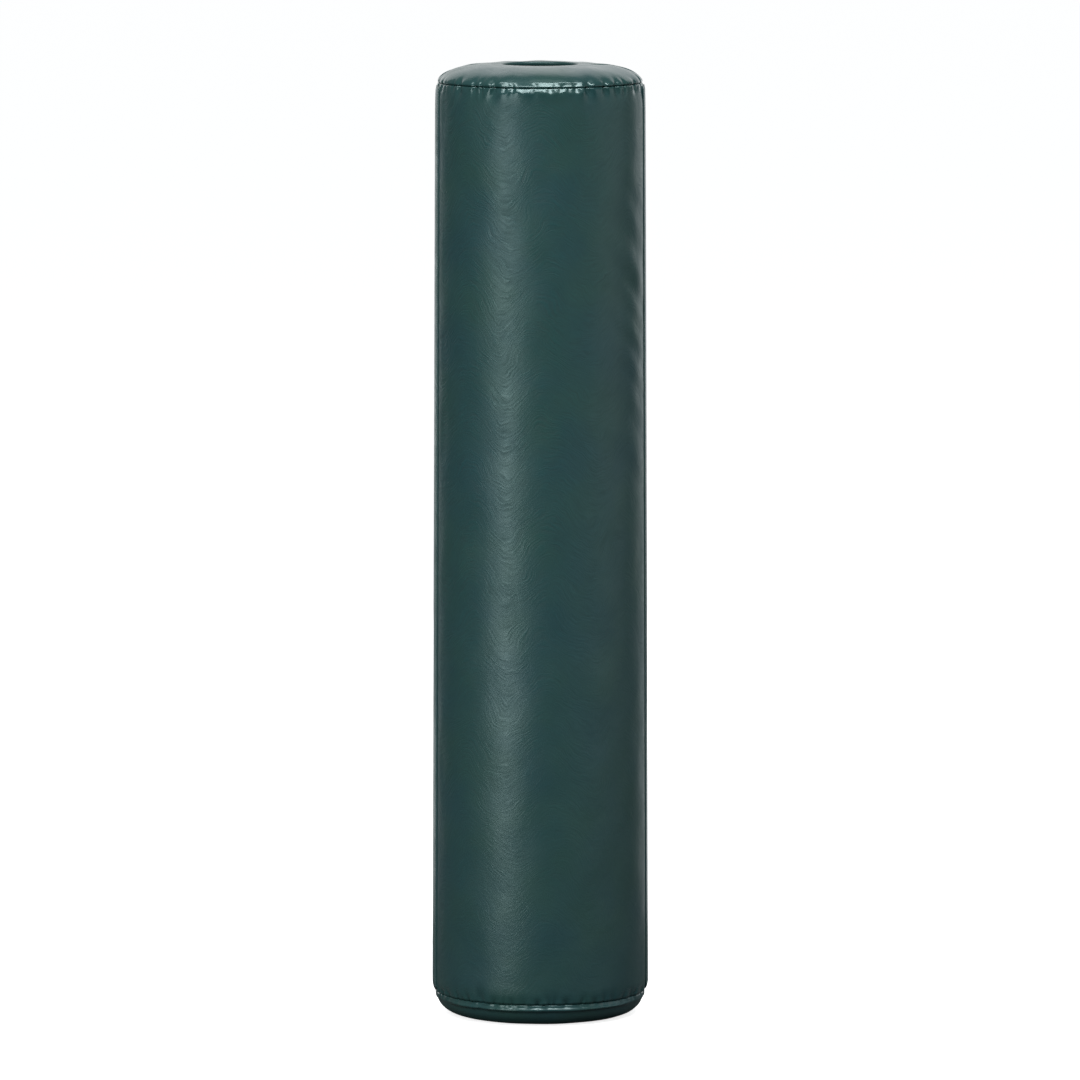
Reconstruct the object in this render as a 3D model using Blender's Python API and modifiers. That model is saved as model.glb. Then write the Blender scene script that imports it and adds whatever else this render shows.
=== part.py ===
"""Goal post pad: a round foam sleeve, in two halves, that clasps a gooseneck goal post.

Metres, +Z up. The origin is on the post's axis at the level of the pad's base. The halves
part on the plane y = 0: the front half lies towards -Y, the spine hinge is at -X, and the
closure flap is at +X, from where it wraps round the back half.
"""
import math

import bmesh
import bpy
from mathutils import Matrix, Vector

# Post and bore
POST_DIAMETER = 0.1413
POST_CLEARANCE = 0.0024

# Outer form: a sleeve that narrows slightly from its base seam to its top seam, with a
# pillow-like crown at each end that springs from the rim seam
PAD_HEIGHT = 1.829
WALL_RADIUS_BASE = 0.206
WALL_TAPER = 0.0075
BASE_CROWN_HEIGHT = 0.044
BASE_FLAT_WIDTH = 0.081
TOP_CROWN_HEIGHT = 0.035
TOP_FLAT_WIDTH = 0.030

# Coated fabric cover, the clearance that every piece keeps to its neighbours, and the gap
# between the two halves
COVER_THICKNESS = 0.0015
FIT = 0.0003
PARTING_GAP = 0.003

# Spine hinge: one strip on each half, meeting at the parting plane
SPINE_STRIP_THICKNESS = 0.0015
SPINE_STRIP_ANGLE = 15.0
SPINE_STRIP_GAP = 0.0006
HINGE_STAND_OFF = 0.0005

# Closure flap with its hook and loop tapes; angles are counted from +X round to the back
FLAP_ANGLE = 40.0
FLAP_ROOT_ANGLE = 5.0
FLAP_THICKNESS = 0.0015
TAPE_THICKNESS = 0.001
TAPE_START_ANGLE = 10.0
TAPE_END_ANGLE = 35.0

# How far the strips on the wall end short of the rim seams, and the tapes short of the flap
STRIP_END_MARGIN = 0.006
TAPE_END_MARGIN = 0.012

# Vent eyelets in the closure side faces
VENT_HOLE_RADIUS = 0.005
VENT_BARREL_WALL = 0.001
VENT_FLANGE_WIDTH = 0.005
VENT_FLANGE_THICKNESS = 0.0008
LOWER_VENT_HEIGHT = 0.36
UPPER_VENT_HEIGHT = 1.47
VENT_DISTANCE_FROM_WALL = 0.068

# Fineness of the turned shapes
STEP_ANGLE = 5.0
CROWN_POINTS = 7
VENT_STEPS = 20
MERGE_DISTANCE = 0.00001

BORE_RADIUS = POST_DIAMETER / 2 + POST_CLEARANCE
WALL_RADIUS_TOP = WALL_RADIUS_BASE - WALL_TAPER
BASE_SEAM_HEIGHT = BASE_CROWN_HEIGHT
TOP_SEAM_HEIGHT = PAD_HEIGHT - TOP_CROWN_HEIGHT
BASE_FLAT_RADIUS = BORE_RADIUS + BASE_FLAT_WIDTH
TOP_FLAT_RADIUS = BORE_RADIUS + TOP_FLAT_WIDTH
SKIN = COVER_THICKNESS + FIT
HOOK_TAPE_STAND_OFF = FIT + TAPE_THICKNESS + FIT
FLAP_STAND_OFF = HOOK_TAPE_STAND_OFF + TAPE_THICKNESS + FIT
CUTTER_WIDTH = 4 * WALL_RADIUS_BASE
CUTTER_HEIGHT = 2 * PAD_HEIGHT

# The direction from the parting plane to each half, along Y
SIDES = {"back": 1, "front": -1}


def wall_radius(height):
    """The cover's outer radius at a height between the two rim seams."""
    share = (height - BASE_SEAM_HEIGHT) / (TOP_SEAM_HEIGHT - BASE_SEAM_HEIGHT)
    return WALL_RADIUS_BASE - share * WALL_TAPER


def crown(flat_radius, seam_radius, seam_height, end_height, inset):
    """A quarter ellipse from the flat end out to the rim seam, moved inwards by inset."""
    rise = end_height - seam_height
    half_width = seam_radius - flat_radius - inset
    half_height = math.copysign(abs(rise) - inset, rise)
    points = []
    for i in range(CROWN_POINTS + 1):
        turn = math.pi / 2 * i / CROWN_POINTS
        radius = flat_radius + half_width * math.sin(turn)
        points.append((radius, seam_height + half_height * math.cos(turn)))
    return points


def top_crown(inset):
    return crown(TOP_FLAT_RADIUS, WALL_RADIUS_TOP, TOP_SEAM_HEIGHT, PAD_HEIGHT, inset)


def base_crown(inset):
    return crown(BASE_FLAT_RADIUS, WALL_RADIUS_BASE, BASE_SEAM_HEIGHT, 0.0, inset)


def section(inset):
    """Outline of one side of the pad, from the top of the bore over the wall to its base."""
    bore = BORE_RADIUS + inset
    outline = [(bore, PAD_HEIGHT - inset)]
    outline += top_crown(inset)
    outline += reversed(base_crown(inset))
    outline.append((bore, inset))
    return outline


def new_material(name, colour, roughness, metallic=0.0):
    material = bpy.data.materials.new(name)
    material.use_nodes = True
    shader = material.node_tree.nodes["Principled BSDF"]
    shader.inputs["Base Color"].default_value = (*colour, 1.0)
    shader.inputs["Roughness"].default_value = roughness
    shader.inputs["Metallic"].default_value = metallic
    material.diffuse_color = (*colour, 1.0)
    return material


def new_collection(name):
    collection = bpy.data.collections.new(name)
    bpy.context.scene.collection.children.link(collection)
    return collection


def new_part(name, mesh, material, collection):
    mesh.materials.append(material)
    item = bpy.data.objects.new(name, mesh)
    collection.objects.link(item)
    return item


def new_cutter(name, mesh, collection):
    item = bpy.data.objects.new(name, mesh)
    collection.objects.link(item)
    item.hide_render = True
    item.display_type = "WIRE"
    return item


def outline_mesh(name, points, closed):
    """Edges through points given as radius and height, in the XZ plane."""
    mesh = bpy.data.meshes.new(name)
    vertices = [(radius, 0.0, height) for radius, height in points]
    edges = [(i, i + 1) for i in range(len(points) - 1)]
    if closed:
        edges.append((len(points) - 1, 0))
    mesh.from_pydata(vertices, edges, [])
    return mesh


def add_screw(item, degrees, steps):
    screw = item.modifiers.new("turn", "SCREW")
    screw.angle = math.radians(degrees)
    screw.steps = steps
    screw.render_steps = steps
    screw.use_merge_vertices = degrees == 360.0
    screw.merge_threshold = MERGE_DISTANCE
    screw.use_smooth_shade = True


def add_boolean(item, other, operation):
    boolean = item.modifiers.new(other.name, "BOOLEAN")
    boolean.operation = operation
    boolean.object = other
    boolean.solver = "EXACT"


def turned(name, points, material, collection, steps=round(360 / STEP_ANGLE)):
    """A full ring whose closed outline runs down its outer side."""
    item = new_part(name, outline_mesh(name, points, True), material, collection)
    add_screw(item, 360.0, steps)
    return item


def wrap_sheet(item, angles, thickness):
    """Sweeps the outline of a sheet's outer side between two angles and thickens it inwards."""
    start, end = angles
    item.rotation_euler = (0.0, 0.0, math.radians(start))
    add_screw(item, end - start, round((end - start) / STEP_ANGLE))
    shell = item.modifiers.new("thickness", "SOLIDIFY")
    shell.thickness = thickness
    shell.offset = -1.0


def strip_outline(name, stand_off, thickness, end_margin):
    """The upright line of a strip's outer side, stand_off from the wall it follows."""
    margin = STRIP_END_MARGIN + end_margin
    outer = stand_off + thickness
    ends = (TOP_SEAM_HEIGHT - margin, BASE_SEAM_HEIGHT + margin)
    points = [(wall_radius(height) + outer, height) for height in ends]
    return outline_mesh(name, points, False)


def make_block_cutter(name, size, centre, collection):
    mesh = bpy.data.meshes.new(name)
    shape = bmesh.new()
    bmesh.ops.create_cube(shape, size=1.0)
    bmesh.ops.scale(shape, vec=Vector(size), verts=shape.verts)
    shape.to_mesh(mesh)
    shape.free()
    cutter = new_cutter(name, mesh, collection)
    cutter.location = centre
    return cutter


def make_other_side_cutter(side, collection):
    """A block over the other half's side, up to this half's edge of the parting gap."""
    size = (CUTTER_WIDTH, CUTTER_WIDTH / 2, CUTTER_HEIGHT)
    y = -SIDES[side] * (size[1] / 2 - PARTING_GAP / 2)
    return make_block_cutter(f"other_side_of_{side}", size, (0.0, y, PAD_HEIGHT / 2), collection)


def make_face_relief_cutter(side, collection):
    """A block that takes a half's foam back behind the face panels on the parting plane."""
    size = (CUTTER_WIDTH, PARTING_GAP + 2 * SKIN, CUTTER_HEIGHT)
    return make_block_cutter(f"face_relief_of_{side}", size, (0.0, 0.0, PAD_HEIGHT / 2), collection)


def make_foam_core(side, material, collection):
    return turned(f"{side}_foam_core", section(SKIN), material, collection)


def make_outer_wall(side, material, collection):
    """The tall panel between the rim seams."""
    high = TOP_SEAM_HEIGHT - FIT / 2
    low = BASE_SEAM_HEIGHT + FIT / 2
    outline = [
        (wall_radius(high), high),
        (wall_radius(low), low),
        (wall_radius(low) - COVER_THICKNESS, low),
        (wall_radius(high) - COVER_THICKNESS, high),
    ]
    return turned(f"{side}_outer_wall", outline, material, collection)


def make_top_panel(side, material, collection):
    outer = [(BORE_RADIUS, PAD_HEIGHT), *top_crown(0.0)]
    inner = [(BORE_RADIUS, PAD_HEIGHT - COVER_THICKNESS), *top_crown(COVER_THICKNESS)]
    edge = TOP_SEAM_HEIGHT + FIT / 2
    outline = [(radius, max(height, edge)) for radius, height in outer + inner[::-1]]
    return turned(f"{side}_top_panel", outline, material, collection)


def make_bottom_panel(side, material, collection):
    outer = [(BORE_RADIUS, 0.0), *base_crown(0.0)]
    inner = [(BORE_RADIUS, COVER_THICKNESS), *base_crown(COVER_THICKNESS)]
    edge = BASE_SEAM_HEIGHT - FIT / 2
    outline = [(radius, min(height, edge)) for radius, height in inner + outer[::-1]]
    return turned(f"{side}_bottom_panel", outline, material, collection)


def make_post_groove_liner(side, material, collection):
    """The sheet that lines the half-round groove for the post, between the end panels."""
    outer = BORE_RADIUS + COVER_THICKNESS
    high = PAD_HEIGHT - SKIN
    outline = [(outer, high), (outer, SKIN), (BORE_RADIUS, SKIN), (BORE_RADIUS, high)]
    return turned(f"{side}_post_groove_liner", outline, material, collection)


def make_spine_strip(side, material, collection):
    """A half's strip of the spine hinge, from half the strips' gap at -X round the wall."""
    name = f"{side}_spine_strip"
    outline = strip_outline(name, FIT, SPINE_STRIP_THICKNESS, 0.0)
    item = new_part(name, outline, material, collection)
    half_gap = math.degrees(SPINE_STRIP_GAP / 2 / WALL_RADIUS_BASE)
    near = 180.0 - SIDES[side] * half_gap
    far = near - SIDES[side] * SPINE_STRIP_ANGLE
    wrap_sheet(item, sorted((near, far)), SPINE_STRIP_THICKNESS)
    return item


def make_side_face(name, side, direction, material, collection):
    """A flat panel on the parting plane, from the groove out to the wall, towards +X or -X."""
    curve = bpy.data.curves.new(name, "CURVE")
    curve.dimensions = "2D"
    curve.fill_mode = "BOTH"
    curve.extrude = COVER_THICKNESS / 2
    points = section(SKIN)
    spline = curve.splines.new("POLY")
    spline.points.add(len(points) - 1)
    for spot, (radius, height) in zip(spline.points, points):
        spot.co = (direction * radius, height, 0.0, 1.0)
    spline.use_cyclic_u = True
    guide = bpy.data.objects.new(name, curve)
    collection.objects.link(guide)
    bpy.context.view_layer.update()
    evaluated = guide.evaluated_get(bpy.context.evaluated_depsgraph_get())
    mesh = bpy.data.meshes.new_from_object(evaluated)
    bpy.data.objects.remove(guide)
    bpy.data.curves.remove(curve)

    shape = bmesh.new()
    shape.from_mesh(mesh)
    bmesh.ops.remove_doubles(shape, verts=shape.verts, dist=MERGE_DISTANCE)
    bmesh.ops.recalc_face_normals(shape, faces=shape.faces)
    shape.to_mesh(mesh)
    shape.free()
    item = new_part(name, mesh, material, collection)
    item.rotation_euler = (math.radians(90), 0.0, 0.0)
    item.location.y = SIDES[side] * (PARTING_GAP + COVER_THICKNESS) / 2
    return item


def make_vent(name, place, material, collection):
    """An eyelet pressed through the face: flange, barrel and inner flange."""
    barrel = VENT_HOLE_RADIUS + VENT_BARREL_WALL
    flange = barrel + VENT_FLANGE_WIDTH
    outside = FIT + VENT_FLANGE_THICKNESS
    inside = -SKIN - VENT_FLANGE_THICKNESS
    outline = [
        (VENT_HOLE_RADIUS, outside),
        (flange, outside),
        (flange, FIT),
        (barrel, FIT),
        (barrel, -SKIN),
        (flange, -SKIN),
        (flange, inside),
        (VENT_HOLE_RADIUS, inside),
    ]
    item = turned(name, outline, material, collection, VENT_STEPS)
    item.matrix_world = place
    return item


def make_vent_cutter(name, place, radius, depth, collection):
    """A cylinder about a vent's axis, from a skin's depth above the face to depth below it."""
    mesh = bpy.data.meshes.new(name)
    shape = bmesh.new()
    bmesh.ops.create_cone(
        shape,
        cap_ends=True,
        segments=VENT_STEPS,
        radius1=radius,
        radius2=radius,
        depth=depth + SKIN,
    )
    shape.to_mesh(mesh)
    shape.free()
    cutter = new_cutter(name, mesh, collection)
    cutter.matrix_world = place @ Matrix.Translation((0, 0, (SKIN - depth) / 2))
    return cutter


def make_vents(side, foam_core, face, material, parts, cutters):
    """Two eyelets in the closure side face, with the face's holes and the foam's recesses."""
    x = WALL_RADIUS_BASE - VENT_DISTANCE_FROM_WALL
    y = SIDES[side] * PARTING_GAP / 2
    turn = Matrix.Rotation(math.radians(90 * SIDES[side]), 4, "X")
    barrel = VENT_HOLE_RADIUS + VENT_BARREL_WALL
    recess_depth = SKIN + VENT_FLANGE_THICKNESS + FIT
    vents = []
    for label, height in (("lower", LOWER_VENT_HEIGHT), ("upper", UPPER_VENT_HEIGHT)):
        name = f"{side}_vent_{label}"
        place = Matrix.Translation((x, y, height)) @ turn
        vents.append(make_vent(name, place, material, parts))
        hole = make_vent_cutter(f"{name}_hole", place, barrel + FIT, 2 * SKIN, cutters)
        add_boolean(face, hole, "DIFFERENCE")
        recess_radius = barrel + VENT_FLANGE_WIDTH + FIT
        recess = make_vent_cutter(f"{name}_recess", place, recess_radius, recess_depth, cutters)
        add_boolean(foam_core, recess, "DIFFERENCE")
    return vents


def make_half(side, materials, parts, cutters):
    """One half of the sleeve: foam core, six cover panels, spine strip and vents."""
    vinyl = materials["vinyl"]
    foam_core = make_foam_core(side, materials["foam"], parts)
    rings = [
        foam_core,
        make_outer_wall(side, vinyl, parts),
        make_top_panel(side, vinyl, parts),
        make_bottom_panel(side, vinyl, parts),
        make_post_groove_liner(side, vinyl, parts),
    ]
    other_side = make_other_side_cutter(side, cutters)
    for ring in rings:
        add_boolean(ring, other_side, "DIFFERENCE")
    add_boolean(foam_core, make_face_relief_cutter(side, cutters), "DIFFERENCE")

    hinge_face = make_side_face(f"{side}_hinge_side_face", side, -1, vinyl, parts)
    closure_face = make_side_face(f"{side}_closure_side_face", side, 1, vinyl, parts)
    spine_strip = make_spine_strip(side, vinyl, parts)
    vents = make_vents(side, foam_core, closure_face, materials["nickel"], parts, cutters)
    return [*rings, hinge_face, closure_face, spine_strip, *vents]


def make_tape(name, stand_off, material, collection):
    outline = strip_outline(name, stand_off, TAPE_THICKNESS, TAPE_END_MARGIN)
    item = new_part(name, outline, material, collection)
    wrap_sheet(item, (TAPE_START_ANGLE, TAPE_END_ANGLE), TAPE_THICKNESS)
    return item


def make_closure_flap(material, parts, cutters):
    """The flap's sheet over the tapes, joined to its thicker root beside the parting gap."""
    outline = strip_outline("closure_flap", FLAP_STAND_OFF, FLAP_THICKNESS, 0.0)
    flap = new_part("closure_flap", outline, material, parts)
    wrap_sheet(flap, (0.0, FLAP_ANGLE), FLAP_THICKNESS)

    root_thickness = FLAP_STAND_OFF - FIT + FLAP_THICKNESS / 2
    outline = strip_outline("flap_root", FIT, root_thickness, 0.0)
    root = new_cutter("flap_root", outline, cutters)
    wrap_sheet(root, (0.0, FLAP_ROOT_ANGLE), root_thickness)
    add_boolean(flap, root, "UNION")
    return flap


def make_axis(name, place, direction, collection):
    """An empty on a joint's axis, with its own Z along the axis."""
    axis = bpy.data.objects.new(name, None)
    collection.objects.link(axis)
    turn = Vector(direction).to_track_quat("Z", "Y").to_matrix().to_4x4()
    axis.matrix_world = Matrix.Translation(place) @ turn
    return axis


def make_hinge_axis(collection):
    """Upright, just outside the spine strips where the pad is widest."""
    x = -(WALL_RADIUS_BASE + FIT + SPINE_STRIP_THICKNESS + HINGE_STAND_OFF)
    return make_axis("clamshell_hinge_axis", (x, 0.0, 0.0), (0.0, 0.0, -1.0), collection)


def make_peel_axis(collection):
    """Along the middle of the flap root's thickness, leaning in with the wall."""
    middle = (FIT + FLAP_STAND_OFF + FLAP_THICKNESS) / 2
    low = Vector((WALL_RADIUS_BASE + middle, 0.0, BASE_SEAM_HEIGHT))
    high = Vector((WALL_RADIUS_TOP + middle, 0.0, TOP_SEAM_HEIGHT))
    return make_axis("flap_peel_axis", low, low - high, collection)


def hang(items, axis):
    """Parents items to a joint's axis and leaves them where they are."""
    bpy.context.view_layer.update()
    for item in items:
        item.parent = axis
        item.matrix_parent_inverse = axis.matrix_world.inverted()


def main():
    for item in list(bpy.data.objects):
        bpy.data.objects.remove(item)
    parts = new_collection("goal_post_pad")
    cutters = new_collection("cutters")
    materials = {
        "vinyl": new_material("vinyl_bottle_green", (0.027, 0.065, 0.062), 0.45),
        "foam": new_material("foam_cream", (0.62, 0.56, 0.42), 0.9),
        "tape": new_material("tape_black_nylon", (0.012, 0.012, 0.012), 0.8),
        "nickel": new_material("eyelet_nickel", (0.6, 0.58, 0.54), 0.3, 1.0),
    }

    make_half("back", materials, parts, cutters)
    front = make_half("front", materials, parts, cutters)
    make_tape("back_loop_tape", FIT, materials["tape"], parts)
    hook_tape = make_tape("flap_hook_tape", HOOK_TAPE_STAND_OFF, materials["tape"], parts)
    flap = make_closure_flap(materials["vinyl"], parts, cutters)

    hinge_axis = make_hinge_axis(parts)
    peel_axis = make_peel_axis(parts)
    hang([*front, peel_axis], hinge_axis)
    hang([hook_tape, flap], peel_axis)


main()
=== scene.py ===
"""Looks of the goal post pad: a foam sleeve in two halves, in a sewn cover of bottle-green vinyl.

Metres, +Z up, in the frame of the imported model: the post's axis is the Z axis, the front half
lies towards -Y, the spine hinge is at -X and the closure flap is at +X.

Each cover panel is a surface worked out on a grid. Two panels that meet in a seam both roll in
over a lip of a few millimetres, so that the seam is a valley with its stitching hidden in it.
"""

import math

import bpy
import numpy as np
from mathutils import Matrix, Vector


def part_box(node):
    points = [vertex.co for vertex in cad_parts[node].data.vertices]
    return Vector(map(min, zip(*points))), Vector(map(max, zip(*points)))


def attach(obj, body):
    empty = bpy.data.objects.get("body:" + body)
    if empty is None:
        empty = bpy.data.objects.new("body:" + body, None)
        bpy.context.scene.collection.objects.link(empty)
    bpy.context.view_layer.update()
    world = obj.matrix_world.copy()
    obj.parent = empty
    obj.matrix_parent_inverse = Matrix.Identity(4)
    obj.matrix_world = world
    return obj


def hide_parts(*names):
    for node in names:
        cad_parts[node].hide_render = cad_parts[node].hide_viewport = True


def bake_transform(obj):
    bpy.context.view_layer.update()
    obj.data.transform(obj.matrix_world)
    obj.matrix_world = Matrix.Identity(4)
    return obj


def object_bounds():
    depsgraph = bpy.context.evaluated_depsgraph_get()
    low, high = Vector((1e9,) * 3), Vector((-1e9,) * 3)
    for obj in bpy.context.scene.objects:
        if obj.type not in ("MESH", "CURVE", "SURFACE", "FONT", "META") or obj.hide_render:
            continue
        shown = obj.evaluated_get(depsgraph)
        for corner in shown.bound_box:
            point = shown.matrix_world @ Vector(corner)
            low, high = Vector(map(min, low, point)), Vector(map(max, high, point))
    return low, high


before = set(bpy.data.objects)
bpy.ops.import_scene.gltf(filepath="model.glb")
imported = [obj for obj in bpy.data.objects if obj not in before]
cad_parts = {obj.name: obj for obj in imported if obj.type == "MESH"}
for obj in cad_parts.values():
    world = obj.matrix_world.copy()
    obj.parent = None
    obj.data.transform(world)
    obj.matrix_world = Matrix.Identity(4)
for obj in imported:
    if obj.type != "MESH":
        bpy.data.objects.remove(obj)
cad_low, cad_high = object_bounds()


def box_middle(node, axis):
    """Middle of a node's box along an axis: 0 for x, 1 for y and 2 for z."""
    low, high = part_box(node)
    return (low[axis] + high[axis]) / 2


# Main sizes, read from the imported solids
PAD_HEIGHT = cad_high.z
BASE_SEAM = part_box("back_bottom_panel")[1].z
TOP_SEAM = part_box("back_top_panel")[0].z
WALL_HEIGHT = TOP_SEAM - BASE_SEAM
WALL_RADIUS_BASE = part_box("back_bottom_panel")[1].y
WALL_RADIUS_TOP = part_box("back_top_panel")[1].y
ARC_RADIUS = (WALL_RADIUS_BASE + WALL_RADIUS_TOP) / 2
HALF_GIRTH = math.pi * ARC_RADIUS
LINER_THICKNESS = 0.0015
BORE_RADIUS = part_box("back_post_groove_liner")[1].y - LINER_THICKNESS
VENT_X = box_middle("front_vent_lower", 0)
VENT_HEIGHTS = {label: box_middle(f"front_vent_{label}", 2) for label in ("lower", "upper")}

# The crowns end in flat rings round the bore
TOP_FLAT_RADIUS = BORE_RADIUS + 0.030
BASE_FLAT_RADIUS = BORE_RADIUS + 0.081

# The solids keep a gap at the parting plane. The soft halves press on each other, so their
# covers all but touch there
HALF_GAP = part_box("back_outer_wall")[0].y
TOUCH_GAP = 0.0001

# Cover: thickness of the vinyl, the roll of its seams and how far they draw the wall in
SKIN = 0.001
SEAM_LIP = 0.004
SEAM_CLEARANCE = 0.0001
SEAM_TUCK = 0.004
FULL_LIP = 0.002
FACE_LIP = 0.0025
TOP_PULL = 0.0022
TOP_PULL_LENGTH = 0.016
BASE_PULL = 0.0016
BASE_PULL_LENGTH = 0.010
BASE_STEP = 0.0040
EDGE_ROUNDING = 0.005
FACE_MARGIN = 0.0004

# Its way into the bore: a roll, a straight stretch and the lip of the seam with the liner, which
# is tucked under. The parting edges are rounded less there
BORE_ROUNDING = 0.004
BORE_STRAIGHT = 0.002
BORE_LIP = 0.002
BORE_TUCK = 0.003
BORE_EDGE_ROUNDING = 0.003

# Grids: beside the seams the wall has bands with four times the columns of its middle
EDGE_STEPS = 5
LIP_STEPS = 6
BORE_LIP_STEPS = 4
FINE_COLUMNS = 384
COARSE_RATIO = 4
BAND_DEPTH = 0.046

SIDES = {"back": 1.0, "front": -1.0}

random = np.random.default_rng(11)


# Shapes


def quarter(steps):
    """Turns from 0 to 90 degrees in equal steps, both ends included."""
    return np.linspace(0.0, math.pi / 2, steps + 1)


def smooth_step(value, low, high):
    """0 up to low and 1 from high on, with a cubic that starts and ends level between them."""
    share = np.clip((value - low) / (high - low), 0.0, 1.0)
    return share * share * (3.0 - 2.0 * share)


def hump(distance, width):
    """A Gaussian: 1 at no distance, falling to 37 percent at the width."""
    return np.exp(-((distance / width) ** 2))


def together(*parts):
    """Stacks coordinates into points, once all of them have one shape."""
    return np.stack(np.broadcast_arrays(*parts), axis=-1)


def point_numbers(shape, first=0):
    """Numbers of the points of a grid that is stored row by row from a first one."""
    return first + np.arange(math.prod(shape)).reshape(shape)


def quads_over(index, flip=False):
    """Quads between neighbours in a grid of point numbers."""
    quads = np.stack([
        index[..., :-1, :-1], index[..., :-1, 1:], index[..., 1:, 1:], index[..., 1:, :-1],
    ], axis=-1).reshape(-1, 4)
    return quads[:, ::-1] if flip else quads


def step_faces(coarse, fine, ratio, flip=False):
    """Faces between a coarse row of points and a row that is ratio times as fine."""
    spans = len(coarse) - 1
    run = fine[np.arange(spans)[:, None] * ratio + np.arange(ratio, -1, -1)]
    faces = np.concatenate([coarse[:-1, None], coarse[1:, None], run], axis=1)
    return faces[:, ::-1] if flip else faces


def new_piece(name, points, faces, uv, taut=None):
    """A mesh object from points (n, 3), a list of face arrays (m, corners) and one UV per point.

    taut, from 0 to 1 per point, says how tightly the cover is drawn there.
    """
    mesh = bpy.data.meshes.new(name)
    corners = np.concatenate([block.ravel() for block in faces])
    sizes = np.concatenate([np.full(len(block), block.shape[1]) for block in faces])
    starts = np.concatenate([[0], np.cumsum(sizes)[:-1]])
    mesh.vertices.add(len(points))
    mesh.vertices.foreach_set("co", np.asarray(points, np.float32).ravel())
    mesh.loops.add(len(corners))
    mesh.loops.foreach_set("vertex_index", corners.astype(np.int32))
    mesh.polygons.add(len(sizes))
    mesh.polygons.foreach_set("loop_start", starts.astype(np.int32))
    mesh.polygons.foreach_set("use_smooth", np.full(len(sizes), True))
    layer = mesh.uv_layers.new(name="UVMap")
    layer.data.foreach_set("uv", np.asarray(uv, np.float32)[corners].ravel())
    if taut is not None:
        store = mesh.attributes.new("taut", "FLOAT", "POINT")
        store.data.foreach_set("value", np.asarray(taut, np.float32).ravel())
    mesh.update(calc_edges=True)
    mesh.validate()
    item = bpy.data.objects.new(name, mesh)
    bpy.context.scene.collection.objects.link(item)
    return item


def thicken(item, thickness):
    """Gives a sheet its thickness on the side away from its face."""
    shell = item.modifiers.new("thickness", "SOLIDIFY")
    shell.thickness = thickness
    shell.offset = -1.0
    shell.use_rim = True
    return item


def sheet_over(name, points, uv, flip, taut=None, thickness=SKIN):
    """A sheet of one thickness over a grid of points (rows, columns, 3), each with its UV."""
    quads = quads_over(point_numbers(points.shape[:2]), flip=flip)
    item = new_piece(name, points.reshape(-1, 3), [quads], uv.reshape(-1, 2), taut)
    return thicken(item, thickness)


def lip(distance, radius):
    """How far a panel has rolled in at a distance from its seam: a quarter circle's drop."""
    share = np.clip(1.0 - distance / radius, 0.0, 1.0)
    return radius * (1.0 - np.sqrt(1.0 - share**2))


def lip_rows(radius, steps):
    """Distances from a seam for the rows that go round its lip in equal turns."""
    return radius * (1.0 - np.cos(quarter(steps)))


def wall_radius(height):
    """Outer radius of the cover's wall: a cone between the seams, drawn in towards each."""
    share = (height - BASE_SEAM) / WALL_HEIGHT
    cone = WALL_RADIUS_BASE + (WALL_RADIUS_TOP - WALL_RADIUS_BASE) * share
    top = TOP_PULL * np.exp(-np.clip(TOP_SEAM - height, 0, None) / TOP_PULL_LENGTH)
    base = BASE_PULL * np.exp(-np.clip(height - BASE_SEAM, 0, None) / BASE_PULL_LENGTH)
    return cone - top - base


def from_edge(angle):
    """Distance round the wall from the nearer parting edge."""
    return np.minimum(angle, math.pi - angle) * ARC_RADIUS


def edge_angles(radius, rounding, columns):
    """Angles from +X for every column of a half ring, and how far each column has dropped.

    The columns next to the parting plane stand at the heights of a quarter circle of the
    rounding's radius, so that the surface turns through 90 degrees into that plane.
    """
    turn = quarter(EDGE_STEPS)
    rise = rounding[:, None] * (1.0 - np.cos(turn))
    drop = rounding[:, None] * (1.0 - np.sin(turn))
    near = np.arcsin((TOUCH_GAP + rise) / radius[:, None])
    share = np.linspace(0.0, 1.0, columns + 1)[1:-1]
    first = near[:, -1:]
    middle = first + (math.pi - 2 * first) * share
    angle = np.concatenate([near, middle, math.pi - near[:, ::-1]], axis=1)
    flat = np.zeros_like(middle)
    return angle, np.concatenate([drop, flat, drop[:, ::-1]], axis=1)


def half_ring(side, radius, height, normal, rounding, columns, dents):
    """Points of half a turned panel, row by row, from its closure edge round to its hinge edge.

    A profile point (radius, height) is turned to every column's angle and moved back along
    the panel's smooth normal by the rounding of its parting edges and by its dents.
    """
    angle, drop = edge_angles(radius, rounding, columns)
    along = angle * ARC_RADIUS
    drop = drop + dents(angle, along, height[:, None])
    reach = radius[:, None] - normal[:, :1] * drop
    level = height[:, None] - normal[:, 1:] * drop
    # the parting edges stay at their distance from the parting plane as the radius shrinks
    inner = smooth_step(from_edge(angle), 0.0, 0.03)
    across = (inner * reach + (1 - inner) * radius[:, None]) * np.sin(angle)
    return together(reach * np.cos(angle), SIDES[side] * across, level), along


def gathers(count, length, depth, width, reach):
    """Random puckers along a seam: place, depth, width, reach and slant of each.

    One lies in every equal stretch. Most are shallow, and the deeper ones reach further.
    """
    gap = length / count
    place = (np.arange(count) + random.uniform(0.1, 0.9, count)) * gap
    strength = random.uniform(0.0, 1.0, count) ** 1.6
    return np.stack([
        place,
        depth[0] + (depth[1] - depth[0]) * strength,
        random.uniform(*width, count),
        reach[0] + (reach[1] - reach[0]) * random.uniform(0.0, 1.0, count) * (0.4 + 0.6 * strength),
        random.uniform(-0.35, 0.35, count),
    ], axis=1)


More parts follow.
